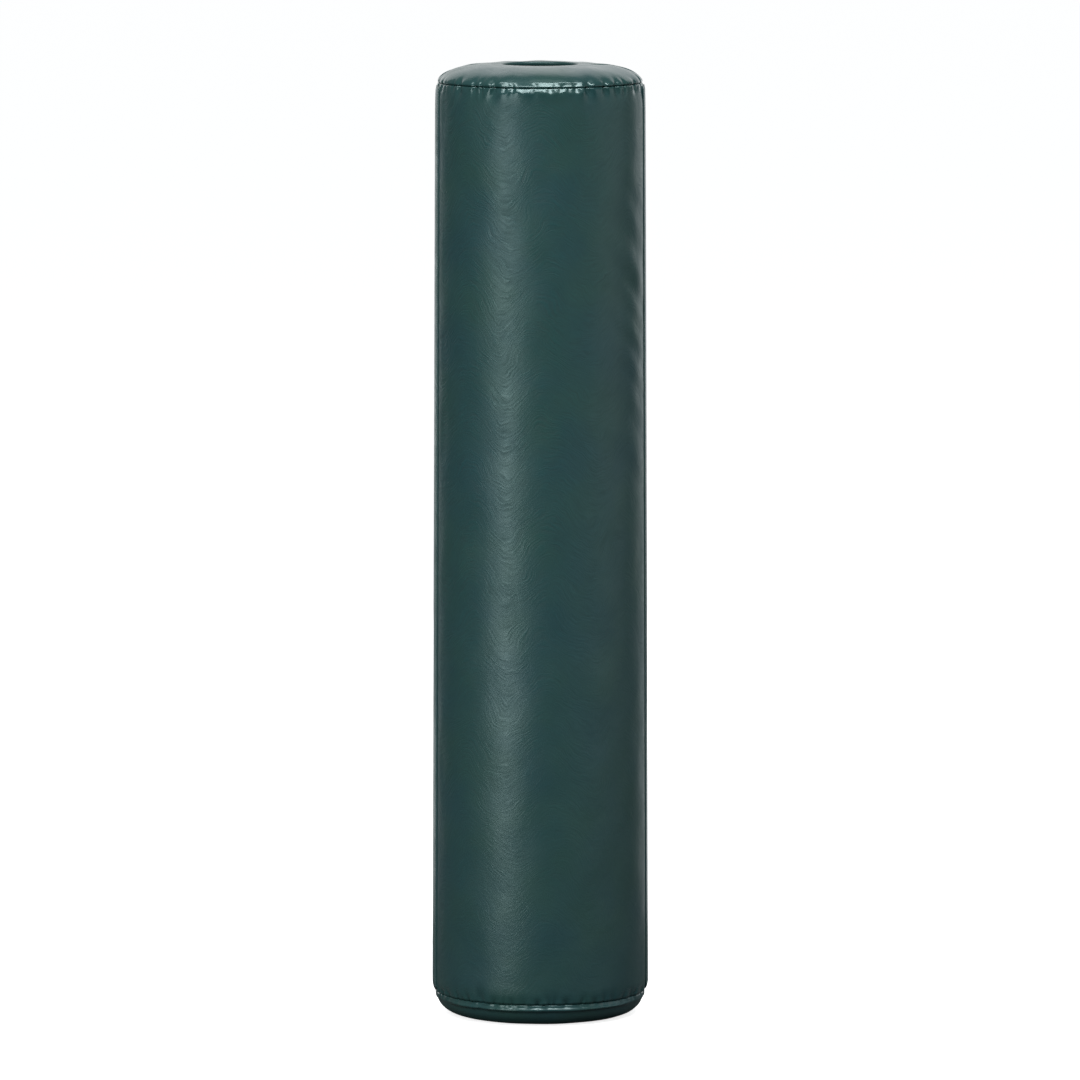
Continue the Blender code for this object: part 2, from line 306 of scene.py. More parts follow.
def gather_depth(along, away, puckers):
    """Sum of narrow dents across the seam, each a Gaussian along it that fades away from it."""
    total = np.zeros(np.broadcast(along, away).shape)
    for place, depth, width, reach, slant in puckers:
        across = along - place - slant * away
        wide = width * (1.0 + away / reach)
        total += depth * np.exp(-((across / wide) ** 2) - (away / reach) ** 2)
    return total


def new_waves(*sizes):
    """Plane waves of the given lengths: heading, start and length of each, the first two random."""
    headings = random.uniform(0, math.pi, len(sizes))
    starts = random.uniform(0, 2 * math.pi, len(sizes))
    return list(zip(headings, starts, sizes))


def swell(along, height, waves, amount):
    """Slow unevenness of the cover: the sum of plane waves, scaled to the amount."""
    total = np.zeros(np.broadcast(along, height).shape)
    for heading, start, size in waves:
        phase = 2 * math.pi * (along * np.cos(heading) + height * np.sin(heading)) / size
        total += np.sin(phase + start)
    return amount * total / math.sqrt(len(waves))


# Materials

# Sockets of a Mix node for its share, its two colours and the colour that it gives
MIX_SHARE, MIX_FIRST, MIX_SECOND, MIX_COLOUR = 0, 6, 7, 2


def linear_colour(code):
    """An sRGB hex colour as linear RGBA."""
    parts = np.array([int(code[i:i + 2], 16) / 255 for i in (1, 3, 5)])
    linear = np.where(parts <= 0.04045, parts / 12.92, ((parts + 0.055) / 1.055) ** 2.4)
    return (*linear.tolist(), 1.0)


def set_inputs(tree, node, inputs):
    """Sets each named input of a node to a value, or links it to an output of another node."""
    for socket, value in inputs.items():
        if isinstance(value, bpy.types.NodeSocket):
            tree.links.new(value, node.inputs[socket])
        else:
            node.inputs[socket].default_value = value


def add_node(tree, kind, inputs=None, **settings):
    """Adds a node with its settings, and sets or links each of its inputs."""
    node = tree.nodes.new(kind)
    for name, value in settings.items():
        setattr(node, name, value)
    set_inputs(tree, node, inputs or {})
    return node


def new_material(name):
    """A material with its node tree, its shader and its coordinates."""
    material = bpy.data.materials.new(name)
    material.use_nodes = True
    tree = material.node_tree
    place = add_node(tree, "ShaderNodeTexCoord")
    return material, tree, tree.nodes["Principled BSDF"], place


def vinyl_material():
    """PVC-coated polyester fabric, calendered and embossed with a fine leather grain.

    The eye gets a dark bottle green with a satin band where the light is, broken up by fine
    crescent-shaped creases that the coated fabric keeps once it has been bent round foam.
    """
    material, tree, shader, place = new_material("satin_bottle_green_vinyl")
    where, flat = place.outputs["Object"], place.outputs["UV"]
    parts = add_node(tree, "ShaderNodeSeparateXYZ", {0: flat})
    sideways, upward = parts.outputs["X"], parts.outputs["Y"]
    taut = add_node(tree, "ShaderNodeAttribute", attribute_name="taut").outputs["Fac"]
    noise = {}
    for label, vector, patches_per_metre, detail, dimensions in (
        ("wander", flat, 5.0, 2.0, "2D"),
        ("bend", flat, 16.0, 3.0, "2D"),
        ("patch", flat, 22.0, 2.0, "2D"),
        ("drift", where, 9.0, 3.0, "3D"),
        ("rub", where, 14.0, 4.0, "3D"),
        ("slack", where, 32.0, 2.0, "3D"),
    ):
        noise[label] = add_node(tree, "ShaderNodeTexNoise", {
            "Vector": vector, "Scale": patches_per_metre, "Detail": detail,
        }, noise_dimensions=dimensions).outputs["Fac"]

    # creases: short lines about 4 mm apart, hung in arcs 170 mm wide round the pad
    arc_width, arc_shift, arc_sag, arc_wander, line_bend = 0.170, -0.433, 0.027, 0.10, 0.038
    lines_per_metre = (30.0, 230.0, 1.0)
    arc = noise["wander"]
    for operation, *values in (
        ("MULTIPLY_ADD", arc_wander, sideways),
        ("ADD", arc_shift),
        ("MULTIPLY", 2 * math.pi / arc_width),
        ("COSINE",),
        ("MULTIPLY_ADD", arc_sag, upward),
    ):
        inputs = dict(enumerate((arc, *values)))
        arc = add_node(tree, "ShaderNodeMath", inputs, operation=operation).outputs[0]
    hung = add_node(tree, "ShaderNodeMath", {0: noise["bend"], 1: line_bend, 2: arc},
                    operation="MULTIPLY_ADD")
    across = add_node(tree, "ShaderNodeCombineXYZ", {"X": sideways, "Y": hung.outputs[0]})
    spacing = add_node(tree, "ShaderNodeVectorMath", {0: across.outputs[0], 1: lines_per_metre},
                       operation="MULTIPLY")
    lines = add_node(tree, "ShaderNodeTexNoise", {"Vector": spacing.outputs[0], "Scale": 1.0},
                     noise_dimensions="2D")
    centred = add_node(tree, "ShaderNodeMath", {0: lines.outputs["Fac"], 1: -0.5}, operation="ADD")

    # they come in patches, hardly show where the cover is taut, and are fainter towards the base
    # and the closure: each value, the range that it is read over, and the shares that it gives
    creases = centred.outputs[0]
    for value, start, end, share_at_start, share_at_end in (
        (noise["patch"], 0.36, 0.64, 0.42, 1.0),
        (taut, 0.0, 0.6, 1.0, 0.06),
        (upward, 0.3, 1.1, 0.55, 1.0),
        (sideways, 0.14, 0.30, 0.5, 1.0),
    ):
        share = add_node(tree, "ShaderNodeMapRange", {
            "Value": value, "From Min": start, "From Max": end,
            "To Min": share_at_start, "To Max": share_at_end,
        })
        creases = add_node(tree, "ShaderNodeMath", {0: creases, 1: share.outputs["Result"]},
                           operation="MULTIPLY").outputs[0]

    # colour: a leaf green and a sea green that drift into each other
    share = add_node(tree, "ShaderNodeMapRange", {
        "Value": noise["drift"], "From Min": 0.32, "From Max": 0.68,
    })
    tint = add_node(tree, "ShaderNodeMix", {
        MIX_SHARE: share.outputs["Result"],
        MIX_FIRST: linear_colour("#23423f"), MIX_SECOND: linear_colour("#203f42"),
    }, data_type="RGBA")
    # the crease pattern scales that colour: painted shade in its valleys and painted highlight on its
    # ridges
    shade = add_node(tree, "ShaderNodeMath", {0: creases, 1: 0.7, 2: 1.0}, operation="MULTIPLY_ADD")
    crease_painted_colour = add_node(tree, "ShaderNodeVectorMath", {
        0: tint.outputs[MIX_COLOUR], "Scale": shade.outputs[0],
    }, operation="SCALE")

    # sheen: more polish in some places than in others, on the ridges and where the cover is taut
    finish = add_node(tree, "ShaderNodeMapRange", {
        "Value": noise["rub"], "From Min": 0.3, "From Max": 0.7, "To Min": 0.38, "To Max": 0.46,
    })
    polish = add_node(tree, "ShaderNodeMapRange", {"Value": taut, "To Min": 1.0, "To Max": 0.33})
    sheen = add_node(tree, "ShaderNodeMath", {
        0: finish.outputs["Result"], 1: polish.outputs["Result"],
    }, operation="MULTIPLY")
    sheen = add_node(tree, "ShaderNodeMath", {0: creases, 1: -0.45, 2: sheen.outputs[0]},
                     operation="MULTIPLY_ADD")

    # grain: pebbles about 2.5 mm across, drawn coarser than the real 1 mm so that they show,
    # and pulled flatter where the cover is taut
    grain = add_node(tree, "ShaderNodeTexVoronoi", {"Vector": where, "Scale": 400.0},
                     feature="SMOOTH_F1")
    pressed = add_node(tree, "ShaderNodeMapRange", {
        "Value": taut, "From Max": 0.8, "To Min": 0.35, "To Max": 0.10,
    })
    # relief: the grain, the creases, and slack dimples 15 to 40 mm across that break the edges
    # of the satin band
    below = {}
    for strength, depth, pattern in (
        (pressed.outputs["Result"], 0.00025, grain.outputs["Distance"]),
        (0.6, 0.0010, creases),
        (0.5, 0.0012, noise["slack"]),
    ):
        relief = add_node(tree, "ShaderNodeBump", {
            "Strength": strength, "Distance": depth, "Height": pattern, **below,
        })
        below = {"Normal": relief.outputs["Normal"]}
    set_inputs(tree, shader, {
        "Base Color": crease_painted_colour.outputs[0],
        "Roughness": sheen.outputs[0],
        "IOR": 1.5,
        "Specular Tint": (0.78, 1.0, 1.0, 1.0),
        "Normal": relief.outputs["Normal"],
    })
    return material


def tape_material(name, loops):
    """Woven nylon hook or loop tape: matt black, with rows of hooks or a felt of loops."""
    material, tree, shader, place = new_material(name)
    shade = add_node(tree, "ShaderNodeTexNoise", {
        "Vector": place.outputs["Object"], "Scale": 900.0 if loops else 500.0, "Detail": 3.0,
    })
    # on the loop tape this noise is also the relief, so its hollows are painted darker and its loops
    # lighter: painted shade and painted light; on the hook tape it is a mottle of the weave
    tint = add_node(tree, "ShaderNodeMix", {
        MIX_SHARE: shade.outputs["Fac"],
        MIX_FIRST: linear_colour("#0c0d0d"), MIX_SECOND: linear_colour("#232525"),
    }, data_type="RGBA")
    if loops:
        relief = shade.outputs["Fac"]
    else:
        # hooks stand 1.6 mm apart in both directions
        relief = add_node(tree, "ShaderNodeTexVoronoi", {
            "Vector": place.outputs["UV"], "Scale": 620.0, "Randomness": 0.15,
        }, voronoi_dimensions="2D").outputs["Distance"]
    bump = add_node(tree, "ShaderNodeBump", {"Strength": 0.8, "Distance": 0.0008, "Height": relief})
    set_inputs(tree, shader, {
        "Base Color": tint.outputs[MIX_COLOUR],
        "Roughness": 0.85 if loops else 0.55,
        "Sheen Weight": 0.4 if loops else 0.0,
        "Normal": bump.outputs["Normal"],
    })
    return material


def thread_material():
    """Bonded polyester sewing thread, dyed to the cover: slightly shiny, twisted."""
    material, tree, shader, place = new_material("bonded_polyester_thread")
    twist = add_node(tree, "ShaderNodeTexNoise", {"Vector": place.outputs["Object"], "Scale": 2500.0})
    tint = add_node(tree, "ShaderNodeMix", {
        MIX_SHARE: twist.outputs["Fac"],
        MIX_FIRST: linear_colour("#1c3d3b"), MIX_SECOND: linear_colour("#31605c"),
    }, data_type="RGBA")
    set_inputs(tree, shader, {"Base Color": tint.outputs[MIX_COLOUR], "Roughness": 0.5})
    return material


def nickel_material():
    """Nickel-plated brass, pressed and tumbled: bright, with fine handling marks."""
    material, tree, shader, place = new_material("nickel_plated_brass")
    marks = add_node(tree, "ShaderNodeTexNoise", {
        "Vector": place.outputs["Object"], "Scale": 600.0, "Detail": 4.0,
    })
    finish = add_node(tree, "ShaderNodeMapRange", {
        "Value": marks.outputs["Fac"], "To Min": 0.2, "To Max": 0.36,
    })
    set_inputs(tree, shader, {
        "Base Color": linear_colour("#c9c3b6"), "Metallic": 1.0, "Roughness": finish.outputs["Result"],
    })
    return material


def foam_material():
    """Open-celled polyurethane foam, cut from a block: matt cream with fine pores."""
    material, tree, shader, place = new_material("cut_polyurethane_foam")
    pores = add_node(tree, "ShaderNodeTexVoronoi", {"Vector": place.outputs["Object"], "Scale": 450.0})
    # the pits of the pores are painted darker than the cream round them: painted shade in the pits
    tint = add_node(tree, "ShaderNodeMix", {
        MIX_SHARE: pores.outputs["Distance"],
        MIX_FIRST: linear_colour("#b5a77f"), MIX_SECOND: linear_colour("#d3c8a6"),
    }, data_type="RGBA")
    bump = add_node(tree, "ShaderNodeBump", {
        "Strength": 0.6, "Distance": 0.0008, "Height": pores.outputs["Distance"],
    })
    set_inputs(tree, shader, {
        "Base Color": tint.outputs[MIX_COLOUR], "Roughness": 0.95, "Normal": bump.outputs["Normal"],
    })
    return material


VINYL = vinyl_material()
LOOP = tape_material("black_nylon_loop_tape", True)
HOOK = tape_material("black_nylon_hook_tape", False)
THREAD = thread_material()
NICKEL = nickel_material()
FOAM = foam_material()


def dress(item, body, material, slot, *nodes):
    """Gives a finished piece its material and its body, and hides the nodes that it stands for. slot is
    not used.
    """
    item.data.materials.append(material)
    if body:
        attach(item, body)
    if nodes:
        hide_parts(*nodes)
    return item


# Cover panels

# Puckers cross a seam from one panel into the other: a few deep ones among shallow ones, which
# fade out beside the parting edges
SHALLOW = {"depth": (0.0003, 0.0016), "width": (0.0016, 0.0030), "reach": (0.006, 0.016)}
DEEP = {"depth": (0.0018, 0.0054), "width": (0.0028, 0.0054), "reach": (0.009, 0.026)}
PUCKERS = {
    (side, end): np.concatenate([
        gathers(shallow, HALF_GIRTH, **SHALLOW), gathers(deep, HALF_GIRTH, **DEEP),
    ])
    for side in SIDES
    for end, shallow, deep in (("top", 48, 20), ("bottom", 30, 26))
}
PUCKER_MARGIN = 0.012

# Dents that the photograph shows beside the front of the top seam: place, depth, width, reach, slant
FRONT_DENTS = (
    (0.409, 0.0050, 0.0050, 0.022, 0.30),
    (0.222, 0.0050, 0.0055, 0.022, -0.30),
    (0.258, 0.0020, 0.0130, 0.030, -0.20),
    (0.455, 0.0032, 0.0045, 0.022, 0.15),
    (0.500, 0.0040, 0.0050, 0.020, 0.10),
    (0.180, 0.0036, 0.0050, 0.020, -0.10),
    (0.148, 0.0040, 0.0045, 0.024, -0.15),
)
# how much weaker the random puckers are where the lips stand fuller
FULL_LIP_CALM = 0.55

# Folds where the flap pulls on the front half: the height at which each crosses a line 75 mm
# round from the closure edge, its depth and its width. All climb 0.75 m for each metre round
PULL_FOLDS = (
    (1.560, 0.0009, 0.021), (1.487, 0.0019, 0.023), (1.393, 0.0027, 0.020), (1.334, 0.0016, 0.018),
    (1.277, 0.0021, 0.019), (1.215, 0.0012, 0.019), (1.140, 0.0012, 0.023), (1.040, 0.0009, 0.021),
)
FOLD_CLIMB = 0.75
FOLD_LINE = 0.075


def full_window(angle):
    """1 over the 160 mm at the front where the lips of the top seam stand fuller."""
    degrees = np.degrees(angle)
    return smooth_step(degrees, 62.0, 66.0) * (1.0 - smooth_step(degrees, 111.0, 116.0))


def sharper_roll(away):
    """How much less the panels roll in at the fuller lips: round 2 mm in place of 4 mm."""
    return lip(away, SEAM_LIP) - lip(away, FULL_LIP)


def full_wall_lip(along, away):
    """Wall below the fuller lips: it swells out, then leans in at 27 degrees over about 10 mm."""
    slope, bend, swelling = 0.51, 0.0012, 0.0012
    start = 0.0105 + 0.0014 * np.sin(along * 133.0) + 0.0009 * np.sin(along * 341.0 + 1.0)
    left = np.clip(start - away, 0.0, None)
    unpulled = TOP_PULL * np.exp(-away / TOP_PULL_LENGTH)
    swollen = unpulled + swelling * (1.0 - smooth_step(away, 0.010, 0.040))
    return slope * left**2 / (left + bend) - swollen - sharper_roll(away)


def full_crown_lip(away):
    """Crown above the fuller lips: the chord of its ellipse between 2 and 11 mm, at 27 degrees."""
    start, end, hollow = 0.002, 0.011, 38.0
    chord = hollow * np.clip(away - start, 0.0, None) * np.clip(end - away, 0.0, None)
    return chord - sharper_roll(away)


def pull_folds(angle, height):
    """Slanting folds down to the closure edge: Gaussian hollows, each with a low ridge above it."""
    along = angle * ARC_RADIUS
    total = np.zeros(np.broadcast(angle, height).shape)
    window = smooth_step(along, 0.012, 0.100) * (1.0 - smooth_step(along, 0.110, 0.200))
    for level, depth, width in PULL_FOLDS:
        across = (height - level - FOLD_CLIMB * (along - FOLD_LINE)) / math.hypot(1.0, FOLD_CLIMB)
        total += depth * window * hump(across, width)
        total -= 0.4 * depth * window * hump(across - 1.5 * width, width)
    return total


def quiet_zone(side, angle):
    """1 on the open wall, falling to 0 where a strip or the flap lies on it."""
    degrees = np.degrees(angle)
    hinge = 1.0 - smooth_step(degrees, 155.0, 163.0)
    start = 44.0 if side == "back" else 10.0
    return hinge * smooth_step(degrees, start, start + 10.0)


def wall_rows():
    """Distances from a seam for the fine rows beside it: its edge, round the lip, opening out."""
    share = np.linspace(0.0, 1.0, 25)[1:]
    opening = SEAM_LIP + (BAND_DEPTH - SEAM_LIP) * share**1.25
    return np.concatenate([[0.0], lip_rows(SEAM_LIP, LIP_STEPS), opening])


def make_wall(side):
    """Outer wall: r = cone - seam pulls - seam lips, less puckers, folds and slow swells."""
    waves = new_waves(0.31, 0.24, 0.19, 0.16, 0.13, 0.11, 0.09)
    slack, taut_reach = 0.0006, 0.018

    def dents(angle, along, height):
        from_top = np.clip(TOP_SEAM - height, 0, None)
        from_base = np.clip(height - BASE_SEAM, 0, None)
        window = full_window(angle)
        loss = gather_depth(along, from_top, PUCKERS[side, "top"])
        if side == "front":
            loss = loss * (1.0 - FULL_LIP_CALM * window) + gather_depth(along, from_top, FRONT_DENTS)
        loss = loss + gather_depth(along, from_base, PUCKERS[side, "bottom"])
        loss = loss * smooth_step(from_edge(angle), 0.0, PUCKER_MARGIN)
        loss = loss + quiet_zone(side, angle) * (slack + swell(along, height, waves, slack))
        if side == "front":
            loss = loss + pull_folds(angle, height) + window * full_wall_lip(along, from_top)
        return loss

    fine = wall_rows()
    middle = np.linspace(BAND_DEPTH, WALL_HEIGHT - BAND_DEPTH, 200)[1:-1]
    blocks, uvs, taut, faces, numbers = [], [], [], [], []
    first = 0
    # the rows of each band as distances below the top seam, its columns and its tucked-in row
    for down, columns, tucked in (
        (fine, FINE_COLUMNS, 0),
        (middle, FINE_COLUMNS // COARSE_RATIO, None),
        (WALL_HEIGHT - fine[::-1], FINE_COLUMNS, -1),
    ):
        height = TOP_SEAM - SEAM_CLEARANCE - down * (1 - 2 * SEAM_CLEARANCE / WALL_HEIGHT)
        radius = wall_radius(height) - lip(down, SEAM_LIP) - lip(WALL_HEIGHT - down, SEAM_LIP)
        if tucked is not None:
            radius[tucked] -= SEAM_TUCK
        normal = np.tile([1.0, 0.0], (len(down), 1))
        rounding = np.full(len(down), EDGE_ROUNDING)
        points, along = half_ring(side, radius, height, normal, rounding, columns, dents)
        index = point_numbers(along.shape, first)
        first += index.size
        numbers.append(index)
        blocks.append(points.reshape(-1, 3))
        uvs.append(together(along, height[:, None]).reshape(-1, 2))
        near = np.minimum(down, WALL_HEIGHT - down)
        taut.append(np.repeat(hump(near, taut_reach), along.shape[1]))
        faces.append(quads_over(index, flip=side == "back"))
    # each fine band meets the coarse middle in a row of many-cornered faces, and in quads at
    # the rounded parting edges
    inner = slice(EDGE_STEPS, -EDGE_STEPS)
    edges = (slice(0, EDGE_STEPS + 1), slice(-EDGE_STEPS - 1, None))
    for coarse, fine_row, flip in (
        (numbers[1][0], numbers[0][-1], side == "front"),
        (numbers[1][-1], numbers[2][0], side == "back"),
    ):
        faces.append(step_faces(coarse[inner], fine_row[inner], COARSE_RATIO, flip=flip))
        for part in edges:
            faces.append(step_faces(coarse[part], fine_row[part], 1, flip=flip))
    item = new_piece(f"{side}_wall", np.concatenate(blocks), faces, np.concatenate(uvs),
                     np.concatenate(taut))
    return thicken(item, SKIN)


def rim_bead(angle, away):
    """Bead of the base rim: a ridge just below the seam and a groove under it, flatter at the sides."""
    ridge = 0.0044 * hump(away - 0.0098, 0.0035)
    groove = 0.0028 * hump(away - 0.0190, 0.0045)
    return (ridge - groove) * (1.0 - 0.8 * smooth_step(np.abs(np.cos(angle)), 0.70, 0.95))


def crown_profile(flat_radius, seam_radius, seam_height, end_height):
    """Profile of an end panel from its rim seam over the crown and into the bore.

    The lip of the seam runs into a quarter ellipse, which ends level in the flat ring. At the
    bore's edge a quarter circle turns down, and the lip of the liner's seam follows it. It
    gives radius, height, smooth normal, distance from the rim seam and edge rounding by row.
    """
    fine_depth, ring_step = 0.020, 0.006
    rise = abs(end_height - seam_height)
    up = math.copysign(1.0, end_height - seam_height)
    width = seam_radius - flat_radius
    near = np.linspace(SEAM_LIP, fine_depth, 18)[1:]
    swing = math.acos(near[-1] / rise) * np.linspace(1.0, 0.0, 24)[1:]
    lift = np.concatenate([[0.0], lip_rows(SEAM_LIP, LIP_STEPS), near, rise * np.cos(swing)])
    bulge = np.sqrt(np.clip(1.0 - (lift / rise) ** 2, 0.0, 1.0))
    radius = flat_radius + width * bulge - lip(lift, SEAM_LIP)
    radius[0] -= SEAM_TUCK
    normal = np.stack([bulge / width, (lift / rise) / rise], 1)
    # the flat ring between the crown and the bore, then the roll into the bore and its lip
    flat_end = BORE_RADIUS + BORE_ROUNDING
    ring = np.arange(flat_radius - ring_step, flat_end + ring_step / 2, -ring_step)
    roll = quarter(5)
    roll_radius = flat_end - BORE_ROUNDING * np.sin(roll)
    roll_lift = rise - BORE_ROUNDING * (1.0 - np.cos(roll))
    down = quarter(BORE_LIP_STEPS)[::-1][1:]
    end_lift = roll_lift[-1] - BORE_STRAIGHT - BORE_LIP * np.cos(down)
    end_radius = BORE_RADIUS + BORE_LIP * (1.0 - np.sin(down))
    end_lift = np.append(end_lift, end_lift[-1])
    end_radius = np.append(end_radius, end_radius[-1] + BORE_TUCK)
    radius = np.concatenate([radius, ring, roll_radius, end_radius])
    lift = np.concatenate([lift, np.full(len(ring), rise), roll_lift, end_lift])
    normal = np.concatenate([
        normal,
        np.tile([0.0, 1.0], (len(ring), 1)),
        np.stack([-np.sin(roll), np.cos(roll)], 1),
        np.tile([-1.0, 0.0], (len(end_lift), 1)),
    ])
    normal /= np.linalg.norm(normal, axis=1)[:, None]
    normal[:, 1] *= up
    travel = np.concatenate([[0.0], np.cumsum(np.hypot(np.diff(radius), np.diff(lift)))])
    travel = np.clip(travel - SEAM_TUCK, 0.0, None)
    in_bore = radius < flat_end + 0.002
    rounding = np.where(in_bore, BORE_EDGE_ROUNDING, EDGE_ROUNDING)
    return radius, seam_height + up * (lift + SEAM_CLEARANCE), normal, travel, rounding


# End panels: level of the rim seam, level and radius of the flat ring, radius of the rim, depth
# of the puckers beside those of the wall, share of the slow swells, and tautness of the crown
END_PANELS = {
    "top": (TOP_SEAM, PAD_HEIGHT, TOP_FLAT_RADIUS, WALL_RADIUS_TOP - TOP_PULL, 0.8, 1.0, 0.40),
    "bottom": (BASE_SEAM, 0.0, BASE_FLAT_RADIUS, WALL_RADIUS_BASE - BASE_STEP, 0.55, 0.4, 0.25),
}
RIM_TAUTNESS = 0.60
RIM_TAUT_REACH = 0.016


def make_end_panel(side, end):
    """Top or bottom panel: a quarter-ellipse crown with puckers beside its rim seam.

    Gives the panel and the radius of the half disc that it was cut from: the bore's radius and
    the length of its profile. The disc's rim is longer than the seam and is gathered into it.
    """
    seam, limit, flat, rim, pucker, swelling, crown_tautness = END_PANELS[end]
    waves = new_waves(0.17, 0.13, 0.10, 0.08, 0.07, 0.05)
    radius, height, normal, travel, rounding = crown_profile(flat, rim, seam, limit)
    inward = smooth_step(radius, BORE_RADIUS + 0.008, BORE_RADIUS + 0.030)[:, None]
    calm = smooth_step(travel, 0.004, 0.020)[:, None] * inward * swelling

    def dents(angle, along, level):
        edge = smooth_step(from_edge(angle), 0.0, PUCKER_MARGIN)
        loss = pucker * gather_depth(along, travel[:, None], PUCKERS[side, end]) * edge
        if side == "front" and end == "top":
            window = full_window(angle)
            loss = loss * (1.0 - FULL_LIP_CALM * window) + window * full_crown_lip(np.abs(level - seam))
            loss = loss + 0.7 * gather_depth(along, travel[:, None], FRONT_DENTS) * edge
        if end == "bottom":
            loss = loss - rim_bead(angle, np.abs(level - seam))
        x, y = radius[:, None] * np.cos(angle), radius[:, None] * np.sin(angle)
        return loss + calm * (0.0008 + swell(x, y, waves, 0.0007))

    points, along = half_ring(side, radius, height, normal, rounding, FINE_COLUMNS, dents)
    uv = together(along * (radius / ARC_RADIUS)[:, None], travel[:, None] + 3.0)
    taut = crown_tautness + RIM_TAUTNESS * hump(travel, RIM_TAUT_REACH)[:, None] + np.zeros_like(along)
    if end == "bottom":
        # the base seam glints less towards the pad's sides
        taut = taut * (1.0 - 0.8 * smooth_step(np.abs(np.cos(along / ARC_RADIUS)), 0.65, 0.90))
    flip = (side == "front") == (end == "top")
    return sheet_over(f"{side}_{end}_end", points, uv, flip, taut), BORE_RADIUS + travel[-1]


def make_liner(side):
    """Groove liner: half a cylinder about the post, facing it, with rolled ends and folds."""
    ends = BORE_ROUNDING + BORE_STRAIGHT + BORE_LIP
    low, high = ends, PAD_HEIGHT - ends
    span = high - low
    rolled = lip_rows(BORE_LIP, BORE_LIP_STEPS)
    middle = np.linspace(0.0, 1.0, 150)[1:-1] * (span - 2 * BORE_LIP) + BORE_LIP
    down = np.concatenate([[0.0], rolled, middle, span - rolled[::-1], [span]])
    height = high - down
    radius = BORE_RADIUS + lip(down, BORE_LIP) + lip(span - down, BORE_LIP)
    radius[[0, -1]] += BORE_TUCK
    normal = np.tile([-1.0, 0.0], (len(down), 1))
    rounding = np.full(len(down), BORE_EDGE_ROUNDING)
    waves = new_waves(0.12, 0.09, 0.07, 0.055, 0.04)

    def dents(angle, along, level):
        edge = smooth_step(np.minimum(angle, math.pi - angle), 0.1, 0.5)
        away = smooth_step(np.minimum(level - low, high - level), 0.0, 0.02)
        # the waves are longer along the post than round it
        return edge * away * (0.0011 + swell(along * 0.36, level * 2.2, waves, 0.0010))

    points, along = half_ring(side, radius, height, normal, rounding, 72, dents)
    uv = together(along * BORE_RADIUS / ARC_RADIUS, height[:, None])
    return sheet_over(f"{side}_groove_liner", points, uv, flip=side == "front")


def clustered(steps, lip_share):
    """Shares from 0 to 1 that crowd at both ends, where a face panel rolls into its seams."""
    rolled = lip_rows(lip_share, 4)
    middle = np.linspace(0.0, 1.0, steps)[1:-1] * (1 - 2 * lip_share) + lip_share
    return np.concatenate([rolled, middle, 1.0 - rolled[::-1]])


def crown_rise(radius, flat_radius, seam_radius, depth):
    """How far a crown has risen from its seam at a radius: a quarter ellipse."""
    ratio = np.clip((radius - flat_radius) / (seam_radius - flat_radius), 0.0, 1.0)
    return depth * np.sqrt(np.clip(1.0 - ratio**2, 0.0, 1.0))


def make_face(side, direction, label):
    """Flat panel on the parting plane, between groove and wall and up into both crowns.

    x runs from the groove's edge to the wall's, z between the two crowns' ellipses, and y
    leaves the parting plane by the roll of the four seams, a slow swell, puckers along the
    wall's edge and, on the closure side, a hollow round each vent.
    """
    width, vent_hole = 0.12, 0.0068
    near = BORE_RADIUS + BORE_EDGE_ROUNDING + FACE_MARGIN
    inset = EDGE_ROUNDING + FACE_MARGIN
    share, rise = np.meshgrid(clustered(26, FACE_LIP / width), clustered(230, FACE_LIP / WALL_HEIGHT))
    far = wall_radius(BASE_SEAM + rise * WALL_HEIGHT) - inset
    far_top = wall_radius(TOP_SEAM) - inset
    far_base = wall_radius(BASE_SEAM) - inset
    x = near + (far - near) * share
    top = TOP_SEAM + crown_rise(
        near + (far_top - near) * share, TOP_FLAT_RADIUS, far_top, PAD_HEIGHT - TOP_SEAM - inset
    )
    base = BASE_SEAM - crown_rise(
        near + (far_base - near) * share, BASE_FLAT_RADIUS, far_base, BASE_SEAM - inset
    )
    top = np.minimum(top, PAD_HEIGHT - inset)
    z = base + (top - base) * rise
    closest = np.stack([x - near, far - x, (top - z) * 0.9, (z - base) * 0.9])
    rolled = lip(closest, FACE_LIP).max(axis=0)
    waves = new_waves(0.21, 0.16, 0.12, 0.09, 0.07, 0.05)
    edge = smooth_step(closest.min(axis=0), 0.002, 0.020)
    dents = edge * (0.0009 + swell(x, z, waves, 0.0008))
    puckers = gathers(110, WALL_HEIGHT, depth=(0.0003, 0.0022), width=(0.003, 0.006), reach=(0.008, 0.026))
    dents = dents + gather_depth(z - BASE_SEAM, closest[1], puckers) * smooth_step(closest[1], 0, 0.002)
    y = TOUCH_GAP + 0.0003 + rolled + dents
    vents = VENT_HEIGHTS.values() if label == "closure" else ()
    for height in vents:
        # a hollow round the vent, so that its eyelet lies below the parting plane
        distance = np.hypot(x - VENT_X, z - height)
        y = y + (HALF_GAP - TOUCH_GAP) * (1.0 - smooth_step(distance, 0.012, 0.034))
    points = np.stack([direction * x, SIDES[side] * y, z], -1)

    # a tuck all round: the seam allowance, turned under the neighbours
    def tuck(line, outward, upward):
        return line + np.array([direction * outward, SIDES[side] * 0.0006, upward])

    points = np.concatenate([tuck(points[:1], 0.0, -0.002), points, tuck(points[-1:], 0.0, 0.002)])
    points = np.concatenate([
        tuck(points[:, :1], -0.0015, 0.0), points, tuck(points[:, -1:], 0.003, 0.0),
    ], axis=1)
    quads = quads_over(point_numbers(points.shape[:2]), flip=(direction > 0) == (side == "front"))
    flat = points.reshape(-1, 3)
    for height in vents:
        # the hole that the eyelet's barrel goes through
        centre = flat[quads].mean(axis=1)
        quads = quads[np.hypot(centre[:, 0] - VENT_X, centre[:, 2] - height) > vent_hole]
    uv = np.stack([flat[:, 0] + 1.3, flat[:, 2]], -1)
    return thicken(new_piece(f"{side}_{label}_face", flat, [quads], uv), SKIN)


